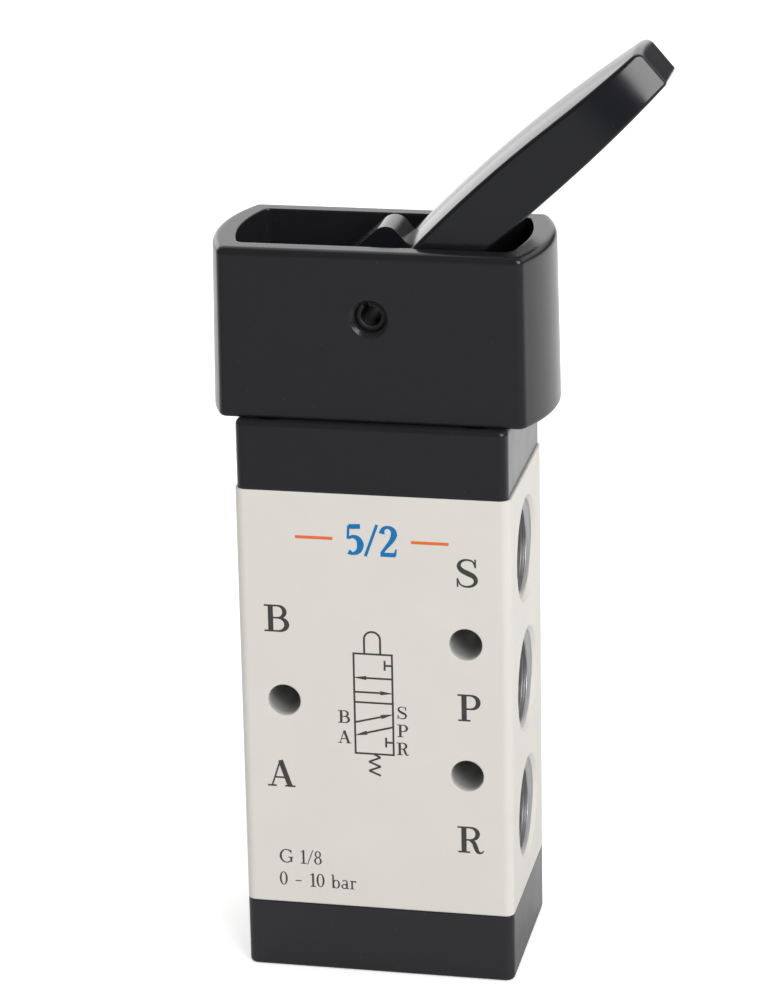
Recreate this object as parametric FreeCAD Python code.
import FreeCAD, Part
import math
import os

from FreeCAD import Vector

# Five-port, two-position air valve worked by a flip lever. Lengths are millimetres, angles are degrees.
# The origin is the centre of the bottom cap's underside. +Z runs up the valve, +X points to the side
# with the supply port and the two exhaust ports, and -Y is the printed front.

# Valve body
body_width = 26.5
body_depth = 18.0
body_height = 42.6
body_corner_radius = 0.9

# Ports: supply in the middle of the right side with an exhaust each side, two outlets on the left
port_pitch = 13.5
port_thread_radius = 4.865
port_chamfer = 0.385
port_depth = 6.2
port_feed_radius = 1.7

# Mounting holes from front to back
mounting_hole_radius = 1.6
mounting_hole_inset = 4.35

# Spool bore and its annular chambers
bore_radius = 4.5
bore_lead_in = 0.3
chamber_radius = 5.6
chamber_width = 3.8

# Spool, its seals and its stroke
plunger_stroke = 2.6
seal_width = 1.5
seal_groove_radius = 3.0
seal_chamfer = 0.35
seal_bore_clearance = 0.03
seal_groove_clearance = 0.02
spool_collar_clearance = 0.25
spool_collar_width = 0.7
spool_waist_radius = 2.4
spool_spigot_radius = 2.0
spool_spigot_length = 1.5
spool_bottom_above_body = 2.0
spool_top_below_body = 1.0
end_seal_inset = 2.4

# Return spring under the spool
spring_wire_radius = 0.35
spring_coil_radius = 2.6
spring_turns = 5.0
spring_well_clearance = 0.35

# Bottom cap
bottom_cap_height = 7.0
bottom_cap_edge_radius = 0.4
spool_pocket_depth = 2.0
spring_floor_thickness = 2.0

# Top cap
top_cap_height = 6.8
top_cap_side_inset = 0.2
top_cap_edge_radius = 0.5

# Gaskets between the caps and the body
gasket_inner_radius = 5.4
gasket_outer_radius = 6.7
gasket_height = 0.9
gasket_chamfer = 0.25
gasket_side_clearance = 0.02

# Cap screws, size M2.5
cap_screw_x = 9.9
cap_screw_y = 5.8
cap_screw_radius = 1.25
screw_hole_clearance = 0.1
cap_screw_reach = 4.5
cap_screw_tip_clearance = 0.5
cap_head_radius = 2.25
cap_head_height = 2.5
cap_head_recess = 0.3
cap_head_clearance = 0.15
cap_socket_across_flats = 2.0
cap_socket_depth = 1.2
thread_clearance = 0.02

# Lever housing
housing_height = 16.55
housing_depth = 16.2
housing_flat_width = 28.9
housing_base_length = 33.0
housing_rim_length = 32.3
housing_corner_radius = 0.9
housing_top_edge_radius = 0.7
housing_bottom_edge_radius = 0.35
housing_floor_thickness = 2.5
pocket_depth_y = 12.1
pocket_flat_width = 25.8
pocket_length = 27.9
pocket_corner_radius = 0.9

# Housing screws, size M3
housing_screw_x = 8.0
housing_screw_radius = 1.5
housing_screw_length = 8.0
housing_head_radius = 2.75
housing_head_height = 1.9
housing_head_edge = 0.5
housing_socket_across_flats = 2.0
housing_socket_depth = 1.1

# Lever pivot, a slotted spring pin of 3 mm
pivot_below_rim = 6.35
pin_radius = 1.5
pin_bore_radius = 1.0
pin_slot_width = 0.6
pin_slot_angle = 115.0
pin_recess = 1.0
pin_end_chamfer = 0.15
pin_running_clearance = 0.06
countersink_radius = 1.88

# Plunger, its guide bush and its seal
plunger_radius = 2.4
plunger_flange_thickness = 0.8
plunger_flange_clearance = 0.25
bush_radius = 3.5
bush_length = 4.0
bush_running_clearance = 0.03
plunger_seal_radius = 4.0
plunger_seal_height = 1.6
plunger_seal_clearance = 0.05
housing_hole_clearance = 0.5

# Lever: the paddle is drawn along +X from the pivot, with its crowned face up, and then tilted
lever_rest_angle = 40.8
paddle_length = 34.75
paddle_half_width = 5.75
paddle_tip_half_width = 3.1
paddle_straight_sides = 24.3
paddle_tip_corner_radius = 0.4
paddle_tip_top_radius = 0.9
paddle_top_height = 3.79
paddle_top_summit = 20.5
paddle_crown_along = 137.0
paddle_crown_across = 20.2
paddle_under_depth = 2.27
paddle_tip_under_depth = 1.15
paddle_under_straight = 13.0
paddle_edge_radius = 0.3
hub_radius = 2.8
paddle_blank_height = 8.0
crown_cutter_margin = 3.0

# The cam tab on the lever's hub
tab_width = 4.6
tab_flank_distance = 5.5
tab_face_distance = 5.68
tab_corner_radius = 1.4
cam_base_radius = 4.2
cam_gap = 0.06
cam_lead_angle = 8.0
cam_points = 13
cam_nose_halvings = 30

# Heights that follow from the stack of parts
body_z = bottom_cap_height
body_top_z = body_z + body_height
housing_z = body_top_z + top_cap_height
pocket_floor_z = housing_z + housing_floor_thickness
housing_top_z = housing_z + housing_height
pivot_z = housing_top_z - pivot_below_rim
port_middle_z = body_z + body_height / 2

exhaust_r_z = port_middle_z - port_pitch
outlet_a_z = port_middle_z - port_pitch / 2
supply_p_z = port_middle_z
outlet_b_z = port_middle_z + port_pitch / 2
exhaust_s_z = port_middle_z + port_pitch
right_ports = [exhaust_r_z, supply_p_z, exhaust_s_z]
left_ports = [outlet_a_z, outlet_b_z]

# A seal that closes its land at rest sits at the land's middle. One that closes it when the plunger is
# pressed sits a stroke higher.
seal_heights = [
    body_z + end_seal_inset / 2 + plunger_stroke,
    (exhaust_r_z + outlet_a_z) / 2,
    (outlet_a_z + supply_p_z) / 2 + plunger_stroke,
    (supply_p_z + outlet_b_z) / 2,
    (outlet_b_z + exhaust_s_z) / 2 + plunger_stroke,
    body_top_z - end_seal_inset,
]

spool_collar_radius = bore_radius - spool_collar_clearance
spool_bottom_z = body_z + spool_bottom_above_body
spool_top_z = body_top_z - spool_top_below_body
spring_floor_z = spring_floor_thickness
pin_length = housing_depth - 2 * pin_recess
lever_travel = 180.0 - 2 * lever_rest_angle
cam_rise = plunger_stroke / math.radians(lever_travel)
plunger_tip_z = pivot_z - cam_base_radius - cam_gap

# Edges are picked by where they lie, within this distance, and by how near to upright they run
pick_tolerance = 1e-4
upright_angle = 2.5

UP = Vector(0, 0, 1)
DOWN = Vector(0, 0, -1)
RIGHT = Vector(1, 0, 0)
LEFT = Vector(-1, 0, 0)
BACK = Vector(0, 1, 0)
FRONT = Vector(0, -1, 0)


def cylinder(radius, length, start, direction):
    return Part.makeCylinder(radius, length, start, direction)


def cone(start_radius, end_radius, length, start, direction):
    return Part.makeCone(start_radius, end_radius, length, start, direction)


def vertical_edges(shape):
    least_rise = math.cos(math.radians(upright_angle))
    return [e for e in shape.Edges if abs(e.tangentAt(e.FirstParameter).z) > least_rise]


def edges_between(shape, z_low, z_high):
    """Edges that reach from one height to the other and no further."""
    return [e for e in shape.Edges
            if abs(e.BoundBox.ZMin - z_low) < pick_tolerance
            and abs(e.BoundBox.ZMax - z_high) < pick_tolerance]


def edges_at(shape, z):
    """Edges that lie in the horizontal plane at this height."""
    return edges_between(shape, z, z)


def rounded_block(width, depth, height, z, corner_radius):
    block = Part.makeBox(width, depth, height, Vector(-width / 2, -depth / 2, z))
    return block.makeFillet(corner_radius, vertical_edges(block))


def arc_ended_outline(length, flat_width, depth, z):
    """Flat front and back, joined by ends that bulge out as arcs."""
    corner_x = flat_width / 2
    corner_y = depth / 2
    right_front = Vector(corner_x, -corner_y, z)
    right_back = Vector(corner_x, corner_y, z)
    left_front = Vector(-corner_x, -corner_y, z)
    left_back = Vector(-corner_x, corner_y, z)
    return Part.Wire([
        Part.LineSegment(left_front, right_front).toShape(),
        Part.Arc(right_front, Vector(length / 2, 0, z), right_back).toShape(),
        Part.LineSegment(right_back, left_back).toShape(),
        Part.Arc(left_back, Vector(-length / 2, 0, z), left_front).toShape(),
    ])


def revolve(profile):
    """Solid of revolution about Z of a closed outline of (radius, height) corners."""
    points = [Vector(radius, 0, height) for radius, height in profile]
    face = Part.Face(Part.makePolygon(points + points[:1]))
    return face.revolve(Vector(0, 0, 0), UP, 360)


def seal_ring(inner_radius, outer_radius, height, z, chamfer):
    """Ring of rectangular section with all four edges taken off."""
    top = z + height
    return revolve([
        (inner_radius + chamfer, z), (outer_radius - chamfer, z),
        (outer_radius, z + chamfer), (outer_radius, top - chamfer),
        (outer_radius - chamfer, top), (inner_radius + chamfer, top),
        (inner_radius, top - chamfer), (inner_radius, z + chamfer),
    ])


def hexagon_prism(across_flats, depth, start, direction):
    corner = across_flats / math.sqrt(3)
    points = [start + Vector(corner * math.cos(a), corner * math.sin(a), 0)
              for a in [math.radians(60 * i) for i in range(7)]]
    return Part.Face(Part.makePolygon(points)).extrude(direction * depth)


def cap_screw_places():
    return [(x, y) for x in (-cap_screw_x, cap_screw_x) for y in (-cap_screw_y, cap_screw_y)]


def housing_screw_places():
    return [(x, 0.0) for x in (-housing_screw_x, housing_screw_x)]


def port_cuts(x_face, z, inward):
    """Threaded bore, mouth chamfer and feed hole of one port, which opens into its chamber."""
    mouth = Vector(x_face, 0, z)
    mouth_radius = port_thread_radius + port_chamfer
    feed_length = body_width / 2 - (bore_radius + chamber_radius) / 2
    return [
        cylinder(port_thread_radius, port_depth, mouth, inward),
        cone(mouth_radius, port_thread_radius, port_chamfer, mouth, inward),
        cylinder(port_feed_radius, feed_length, mouth, inward),
    ]


def make_valve_body():
    body = rounded_block(body_width, body_depth, body_height, body_z, body_corner_radius)
    cuts = [cylinder(bore_radius, body_height, Vector(0, 0, body_z), UP)]
    lead_radius = bore_radius + bore_lead_in
    cuts.append(cone(lead_radius, bore_radius, bore_lead_in, Vector(0, 0, body_z), UP))
    cuts.append(cone(lead_radius, bore_radius, bore_lead_in, Vector(0, 0, body_top_z), DOWN))
    for z in right_ports + left_ports:
        cuts.append(cylinder(chamber_radius, chamber_width, Vector(0, 0, z - chamber_width / 2), UP))
    for z in right_ports:
        cuts += port_cuts(body_width / 2, z, LEFT)
    for z in left_ports:
        cuts += port_cuts(-body_width / 2, z, RIGHT)
    hole_x = body_width / 2 - mounting_hole_inset
    for x, z in [(hole_x, outlet_a_z), (hole_x, outlet_b_z), (-hole_x, supply_p_z)]:
        cuts.append(cylinder(mounting_hole_radius, body_depth, Vector(x, -body_depth / 2, z), BACK))
    thread_radius = cap_screw_radius + thread_clearance
    thread_depth = cap_screw_reach + cap_screw_tip_clearance
    for x, y in cap_screw_places():
        cuts.append(cylinder(thread_radius, thread_depth, Vector(x, y, body_z), UP))
        cuts.append(cylinder(thread_radius, thread_depth, Vector(x, y, body_top_z), DOWN))
    return body.cut(cuts)


def gasket_groove(z):
    start = Vector(0, 0, z)
    outer = cylinder(gasket_outer_radius + gasket_side_clearance, gasket_height, start, UP)
    return outer.cut(cylinder(gasket_inner_radius - gasket_side_clearance, gasket_height, start, UP))


def make_bottom_cap():
    cap = rounded_block(body_width, body_depth, bottom_cap_height, 0.0, body_corner_radius)
    cap = cap.makeFillet(bottom_cap_edge_radius, edges_at(cap, 0.0))
    well_radius = spring_coil_radius + spring_wire_radius + spring_well_clearance
    cuts = [
        cylinder(bore_radius, spool_pocket_depth, Vector(0, 0, bottom_cap_height), DOWN),
        cylinder(well_radius, bottom_cap_height - spring_floor_z, Vector(0, 0, spring_floor_z), UP),
        gasket_groove(bottom_cap_height - gasket_height),
    ]
    hole_radius = cap_screw_radius + screw_hole_clearance
    sink_radius = cap_head_radius + cap_head_clearance
    for x, y in cap_screw_places():
        start = Vector(x, y, 0)
        cuts.append(cylinder(hole_radius, bottom_cap_height, start, UP))
        cuts.append(cylinder(sink_radius, cap_head_height + cap_head_recess, start, UP))
    return cap.cut(cuts)


def make_top_cap():
    width = body_width - 2 * top_cap_side_inset
    cap = rounded_block(width, body_depth, top_cap_height, body_top_z, body_corner_radius)
    cap = cap.makeFillet(top_cap_edge_radius, edges_at(cap, housing_z))
    seal_bore_radius = plunger_seal_radius + plunger_seal_clearance
    seal_bore_depth = top_cap_height - bush_length
    cuts = [
        cylinder(bush_radius, bush_length, Vector(0, 0, housing_z), DOWN),
        cylinder(seal_bore_radius, seal_bore_depth, Vector(0, 0, body_top_z), UP),
        gasket_groove(body_top_z),
    ]
    hole_radius = cap_screw_radius + screw_hole_clearance
    sink_radius = cap_head_radius + cap_head_clearance
    for x, y in cap_screw_places():
        top = Vector(x, y, housing_z)
        cuts.append(cylinder(hole_radius, top_cap_height, top, DOWN))
        cuts.append(cone(sink_radius, hole_radius, sink_radius - hole_radius, top, DOWN))
    thread_depth = housing_screw_length - housing_floor_thickness
    for x, y in housing_screw_places():
        start = Vector(x, y, housing_z)
        cuts.append(cylinder(housing_screw_radius + thread_clearance, thread_depth, start, DOWN))
    return cap.cut(cuts)


def make_bottom_cap_screws():
    """Socket screws that come up through the bottom cap into the body."""
    screws = []
    for x, y in cap_screw_places():
        head_start = Vector(x, y, cap_head_recess)
        length = body_z + cap_screw_reach - cap_head_recess
        screw = cylinder(cap_head_radius, cap_head_height, head_start, UP)
        screw = screw.fuse(cylinder(cap_screw_radius, length, head_start, UP)).removeSplitter()
        screws.append(screw.cut(hexagon_prism(cap_socket_across_flats, cap_socket_depth, head_start, UP)))
    return Part.makeCompound(screws)


def make_top_cap_screws():
    """Countersunk socket screws that go down through the top cap into the body, under the housing."""
    screws = []
    sink_depth = cap_head_radius - cap_screw_radius
    head_top_z = housing_z - cap_head_clearance
    for x, y in cap_screw_places():
        top = Vector(x, y, head_top_z)
        length = head_top_z - body_top_z + cap_screw_reach
        screw = cone(cap_head_radius, cap_screw_radius, sink_depth, top, DOWN)
        shank_start = top + DOWN * sink_depth
        screw = screw.fuse(cylinder(cap_screw_radius, length - sink_depth, shank_start, DOWN))
        screws.append(screw.cut(hexagon_prism(cap_socket_across_flats, sink_depth, top, DOWN)))
    return Part.makeCompound(screws)


def make_housing_screws():
    """Button-head screws on the pocket's floor that hold the housing on the top cap."""
    screws = []
    for x, y in housing_screw_places():
        seat = Vector(x, y, pocket_floor_z)
        head = cylinder(housing_head_radius, housing_head_height, seat, UP)
        top_z = pocket_floor_z + housing_head_height
        head = head.makeFillet(housing_head_edge, edges_at(head, top_z))
        shank = cylinder(housing_screw_radius, housing_screw_length, seat, DOWN)
        socket_start = Vector(x, y, top_z)
        socket = hexagon_prism(housing_socket_across_flats, housing_socket_depth, socket_start, DOWN)
        screws.append(head.fuse(shank).cut(socket))
    return Part.makeCompound(screws)


def make_lever_housing():
    draft = (housing_base_length - housing_rim_length) / 2
    base = arc_ended_outline(housing_base_length, housing_flat_width, housing_depth, housing_z)
    rim = arc_ended_outline(housing_rim_length, housing_flat_width - draft, housing_depth, housing_top_z)
    housing = Part.makeLoft([base, rim], True, True)
    housing = housing.makeFillet(housing_corner_radius, edges_between(housing, housing_z, housing_top_z))
    housing = housing.makeFillet(housing_top_edge_radius, edges_at(housing, housing_top_z))
    housing = housing.makeFillet(housing_bottom_edge_radius, edges_at(housing, housing_z))
    pocket_outline = arc_ended_outline(pocket_length, pocket_flat_width, pocket_depth_y, pocket_floor_z)
    pocket = Part.Face(pocket_outline).extrude(UP * (housing_top_z - pocket_floor_z))
    pocket = pocket.makeFillet(pocket_corner_radius, vertical_edges(pocket))
    front_y = -housing_depth / 2
    front = Vector(0, front_y, pivot_z)
    back = Vector(0, -front_y, pivot_z)
    sink_depth = countersink_radius - pin_radius
    plunger_hole_radius = plunger_radius + housing_hole_clearance
    cuts = [
        pocket,
        cylinder(pin_radius, housing_depth, front, BACK),
        cone(countersink_radius, pin_radius, sink_depth, front, BACK),
        cone(countersink_radius, pin_radius, sink_depth, back, FRONT),
        cylinder(plunger_hole_radius, housing_floor_thickness, Vector(0, 0, housing_z), UP),
    ]
    hole_radius = housing_screw_radius + screw_hole_clearance
    for x, y in housing_screw_places():
        cuts.append(cylinder(hole_radius, housing_floor_thickness, Vector(x, y, housing_z), UP))
    return housing.cut(cuts)


def make_pivot_pin():
    """Rolled spring pin: a tube slit along its length, with chamfered ends."""
    start = Vector(0, -pin_length / 2, pivot_z)
    pin = cylinder(pin_radius, pin_length, start, BACK)
    ends = [e for e in pin.Edges if e.Closed]
    pin = pin.makeChamfer(pin_end_chamfer, ends)
    slot = Part.makeBox(2 * pin_radius, pin_length, pin_slot_width,
                        Vector(0, -pin_length / 2, pivot_z - pin_slot_width / 2))
    slot.rotate(Vector(0, 0, pivot_z), FRONT, pin_slot_angle)
    return pin.cut([cylinder(pin_bore_radius, pin_length, start, BACK), slot])


def make_plunger():
    """Domed push pin with a flange that stops against the top cap."""
    flange_radius = bore_radius - plunger_flange_clearance
    stem_top_z = plunger_tip_z - plunger_radius
    flange_top_z = spool_top_z + plunger_flange_thickness
    flange = cylinder(flange_radius, plunger_flange_thickness, Vector(0, 0, spool_top_z), UP)
    stem = cylinder(plunger_radius, stem_top_z - flange_top_z, Vector(0, 0, flange_top_z), UP)
    dome = Part.makeSphere(plunger_radius, Vector(0, 0, stem_top_z), UP, 0, 90, 360)
    return flange.fuse([stem, dome])


def make_plunger_bush():
    inner = plunger_radius + bush_running_clearance
    start = Vector(0, 0, housing_z - bush_length)
    return cylinder(bush_radius, bush_length, start, UP).cut(cylinder(inner, bush_length, start, UP))


def make_plunger_seal():
    z = housing_z - bush_length - plunger_seal_height
    inner = plunger_radius + plunger_seal_clearance
    return seal_ring(inner, plunger_seal_radius, plunger_seal_height, z, seal_chamfer)


def make_spool():
    """Spool turned with a collar each side of every seal groove, a waist between, and a spring spigot."""
    half_groove = seal_width / 2 + seal_groove_clearance
    spigot_z = spool_bottom_z - spool_spigot_length
    profile = [
        (0, spigot_z), (spool_spigot_radius, spigot_z),
        (spool_spigot_radius, spool_bottom_z), (spool_collar_radius, spool_bottom_z),
    ]
    for number, z in enumerate(seal_heights):
        groove_bottom = z - half_groove
        groove_top = z + half_groove
        if number > 0:
            profile.append((spool_waist_radius, groove_bottom - spool_collar_width))
            profile.append((spool_collar_radius, groove_bottom - spool_collar_width))
        profile.append((spool_collar_radius, groove_bottom))
        profile.append((seal_groove_radius, groove_bottom))
        profile.append((seal_groove_radius, groove_top))
        profile.append((spool_collar_radius, groove_top))
        if number < len(seal_heights) - 1:
            profile.append((spool_collar_radius, groove_top + spool_collar_width))
            profile.append((spool_waist_radius, groove_top + spool_collar_width))
    profile.append((spool_collar_radius, spool_top_z))
    profile.append((0, spool_top_z))
    return revolve(profile)


def make_spool_seal(z):
    inner = seal_groove_radius + seal_groove_clearance
    outer = bore_radius - seal_bore_clearance
    return seal_ring(inner, outer, seal_width, z - seal_width / 2, seal_chamfer)


def make_return_spring():
    """Round-wire helix between the bottom cap's well and the spool."""
    bottom = spring_floor_z + spring_wire_radius
    height = spool_bottom_z - spring_floor_z - 2 * spring_wire_radius
    path = Part.makeHelix(height / spring_turns, height, spring_coil_radius)
    rise = height / spring_turns / (2 * math.pi)
    tangent = Vector(0, spring_coil_radius, rise)
    section = Part.Wire(Part.makeCircle(spring_wire_radius, Vector(spring_coil_radius, 0, 0), tangent))
    spring = Part.Wire(path).makePipeShell([section], True, True)
    spring.translate(Vector(0, 0, bottom))
    return spring


def make_gasket(z):
    return seal_ring(gasket_inner_radius, gasket_outer_radius, gasket_height, z, gasket_chamfer)


def make_paddle():
    """Leaf-shaped blade of the lever, lying along +X with the pivot at the origin."""
    run = paddle_length - paddle_under_straight
    rise = paddle_under_depth - paddle_tip_under_depth
    under_radius = (run ** 2 + rise ** 2) / (2 * rise)
    half_rise = under_radius - math.sqrt(under_radius ** 2 - (run / 2) ** 2)
    top_root = Vector(0, 0, paddle_blank_height)
    top_tip = Vector(paddle_length, 0, paddle_blank_height)
    under_tip = Vector(paddle_length, 0, -paddle_tip_under_depth)
    under_middle = Vector(paddle_under_straight + run / 2, 0, half_rise - paddle_under_depth)
    under_bend = Vector(paddle_under_straight, 0, -paddle_under_depth)
    under_root = Vector(0, 0, -paddle_under_depth)
    side = Part.Face(Part.Wire([
        Part.LineSegment(top_root, top_tip).toShape(),
        Part.LineSegment(top_tip, under_tip).toShape(),
        Part.Arc(under_tip, under_middle, under_bend).toShape(),
        Part.LineSegment(under_bend, under_root).toShape(),
        Part.LineSegment(under_root, top_root).toShape(),
    ]))
    side.translate(FRONT * paddle_half_width)
    blade = side.extrude(BACK * (2 * paddle_half_width))
    paddle = blade.common(make_leaf()).cut(make_crown_cutter())
    # The large rounding on top of the tip comes first, and the small ones run into it
    tip_top = [e for e in paddle.Edges if lies_at_tip(e) and e.BoundBox.ZMin > 0]
    paddle = paddle.makeFillet(paddle_tip_top_radius, tip_top)
    tip_corners = [e for e in vertical_edges(paddle) if lies_at_tip(e)]
    paddle = paddle.makeFillet(paddle_tip_corner_radius, tip_corners)
    past_pivot = [e for e in paddle.Edges if e.BoundBox.XMax > pick_tolerance]
    return paddle.makeFillet(paddle_edge_radius, past_pivot)


def lies_at_tip(edge):
    """Whether an edge lies in the paddle's end face."""
    return edge.BoundBox.XMin > paddle_length - pick_tolerance


def make_leaf():
    """Plan outline of the paddle: straight sides, then one ellipse cut off square at the tip."""
    tip_share = paddle_tip_half_width / paddle_half_width
    half_length = (paddle_length - paddle_straight_sides) / math.sqrt(1 - tip_share ** 2)
    low = -paddle_blank_height
    ellipse = Part.Ellipse(Vector(paddle_straight_sides, 0, low), half_length, paddle_half_width)
    tip_angle = math.asin(tip_share)
    root_x = -hub_radius
    back_root = Vector(root_x, paddle_half_width, low)
    back_bend = Vector(paddle_straight_sides, paddle_half_width, low)
    back_tip = Vector(paddle_length, paddle_tip_half_width, low)
    front_tip = Vector(paddle_length, -paddle_tip_half_width, low)
    front_bend = Vector(paddle_straight_sides, -paddle_half_width, low)
    front_root = Vector(root_x, -paddle_half_width, low)
    return Part.Face(Part.Wire([
        Part.LineSegment(front_root, front_bend).toShape(),
        Part.ArcOfEllipse(ellipse, -math.pi / 2, -tip_angle).toShape(),
        Part.LineSegment(front_tip, back_tip).toShape(),
        Part.ArcOfEllipse(ellipse, tip_angle, math.pi / 2).toShape(),
        Part.LineSegment(back_bend, back_root).toShape(),
        Part.LineSegment(back_root, front_root).toShape(),
    ])).extrude(UP * (2 * paddle_blank_height))


def make_crown_cutter():
    """Everything above the paddle's top, which is crowned both across and along the blade."""
    reach = paddle_half_width + crown_cutter_margin
    drop = paddle_crown_across - math.sqrt(paddle_crown_across ** 2 - reach ** 2)
    x = paddle_top_summit
    left = Vector(x, -reach, paddle_top_height - drop)
    summit = Vector(x, 0, paddle_top_height)
    right = Vector(x, reach, paddle_top_height - drop)
    high_left = Vector(x, -reach, 2 * paddle_blank_height)
    high_right = Vector(x, reach, 2 * paddle_blank_height)
    section = Part.Face(Part.Wire([
        Part.Arc(left, summit, right).toShape(),
        Part.LineSegment(right, high_right).toShape(),
        Part.LineSegment(high_right, high_left).toShape(),
        Part.LineSegment(high_left, left).toShape(),
    ]))
    axis_point = Vector(x, 0, paddle_top_height - paddle_crown_along)
    half_sweep = math.degrees(paddle_length / paddle_crown_along)
    section.rotate(axis_point, BACK, -half_sweep)
    return section.revolve(axis_point, BACK, 2 * half_sweep)


def cam_point(turn):
    """Point of the cam, in the paddle's frame, that meets the plunger's dome after this turn in degrees.

    The dome's centre stays under the pivot and drops in proportion to the turn, so in the lever's own
    frame it follows a spiral. The cam is that spiral set in by the dome's radius.
    """
    spiral = plunger_radius + cam_gap + cam_base_radius + cam_rise * math.radians(turn)
    angle = math.radians(270.0 - turn - lever_rest_angle)
    outward = Vector(math.cos(angle), 0, math.sin(angle))
    around = Vector(-math.sin(angle), 0, math.cos(angle))
    normal = (outward * spiral + around * cam_rise).normalize()
    return outward * spiral - normal * (plunger_radius + cam_gap)


def cam_nose_turn():
    """Turn at which the cam runs into the tab's flank, found by halving the range that holds it."""
    low = lever_travel
    high = lever_travel + 2 * cam_lead_angle
    for halving in range(cam_nose_halvings):
        middle = (low + high) / 2
        if cam_point(middle).z > tab_flank_distance:
            high = middle
        else:
            low = middle
    return low


def make_cam_tab():
    """Narrow tab with the cam below, a flat flank above and a round heel under the hub."""
    first = -cam_lead_angle
    last = cam_nose_turn()
    turns = [first + (last - first) * i / (cam_points - 1) for i in range(cam_points)]
    points = [cam_point(turn) for turn in turns]
    cam = Part.BSplineCurve()
    cam.interpolate(points)
    heel_radius = points[0].Length
    heel_middle_angle = math.atan2(points[0].z, points[0].x) / 2
    heel_middle = Vector(math.cos(heel_middle_angle), 0, math.sin(heel_middle_angle)) * heel_radius
    heel_end = Vector(heel_radius, 0, 0)
    face_bottom = Vector(tab_face_distance, 0, 0)
    face_top = Vector(tab_face_distance, 0, tab_flank_distance - tab_corner_radius)
    flank_end = Vector(tab_face_distance - tab_corner_radius, 0, tab_flank_distance)
    middle_offset = tab_corner_radius * (1 - math.sqrt(0.5))
    corner_middle = Vector(tab_face_distance - middle_offset, 0, tab_flank_distance - middle_offset)
    outline = Part.Wire([
        cam.toShape(),
        Part.LineSegment(points[-1], flank_end).toShape(),
        Part.Arc(flank_end, corner_middle, face_top).toShape(),
        Part.LineSegment(face_top, face_bottom).toShape(),
        Part.LineSegment(face_bottom, heel_end).toShape(),
        Part.Arc(heel_end, heel_middle, points[0]).toShape(),
    ])
    face = Part.Face(outline)
    face.translate(FRONT * (tab_width / 2))
    return face.extrude(BACK * tab_width)


def make_lever():
    hub_start = FRONT * paddle_half_width
    hub = cylinder(hub_radius, 2 * paddle_half_width, hub_start, BACK)
    lever = make_paddle().fuse([hub, make_cam_tab()]).removeSplitter()
    lever = lever.cut(cylinder(pin_radius + pin_running_clearance, 2 * paddle_half_width, hub_start, BACK))
    lever.rotate(Vector(0, 0, 0), FRONT, lever_rest_angle)
    lever.translate(UP * pivot_z)
    return lever


nodes = {
    "valve_body": make_valve_body(),
    "bottom_cap": make_bottom_cap(),
    "bottom_gasket": make_gasket(bottom_cap_height - gasket_height),
    "bottom_cap_screws": make_bottom_cap_screws(),
    "top_cap": make_top_cap(),
    "top_gasket": make_gasket(body_top_z),
    "top_cap_screws": make_top_cap_screws(),
    "lever_housing": make_lever_housing(),
    "housing_screws": make_housing_screws(),
    "lever": make_lever(),
    "pivot_pin": make_pivot_pin(),
    "plunger": make_plunger(),
    "plunger_bush": make_plunger_bush(),
    "plunger_seal": make_plunger_seal(),
    "spool": make_spool(),
    "return_spring": make_return_spring(),
}
for number, z in enumerate(seal_heights, start=1):
    nodes[f"spool_seal_{number}"] = make_spool_seal(z)

os.makedirs("parts", exist_ok=True)
for name, shape in nodes.items():
    shape.exportStep(f"parts/{name}.step")
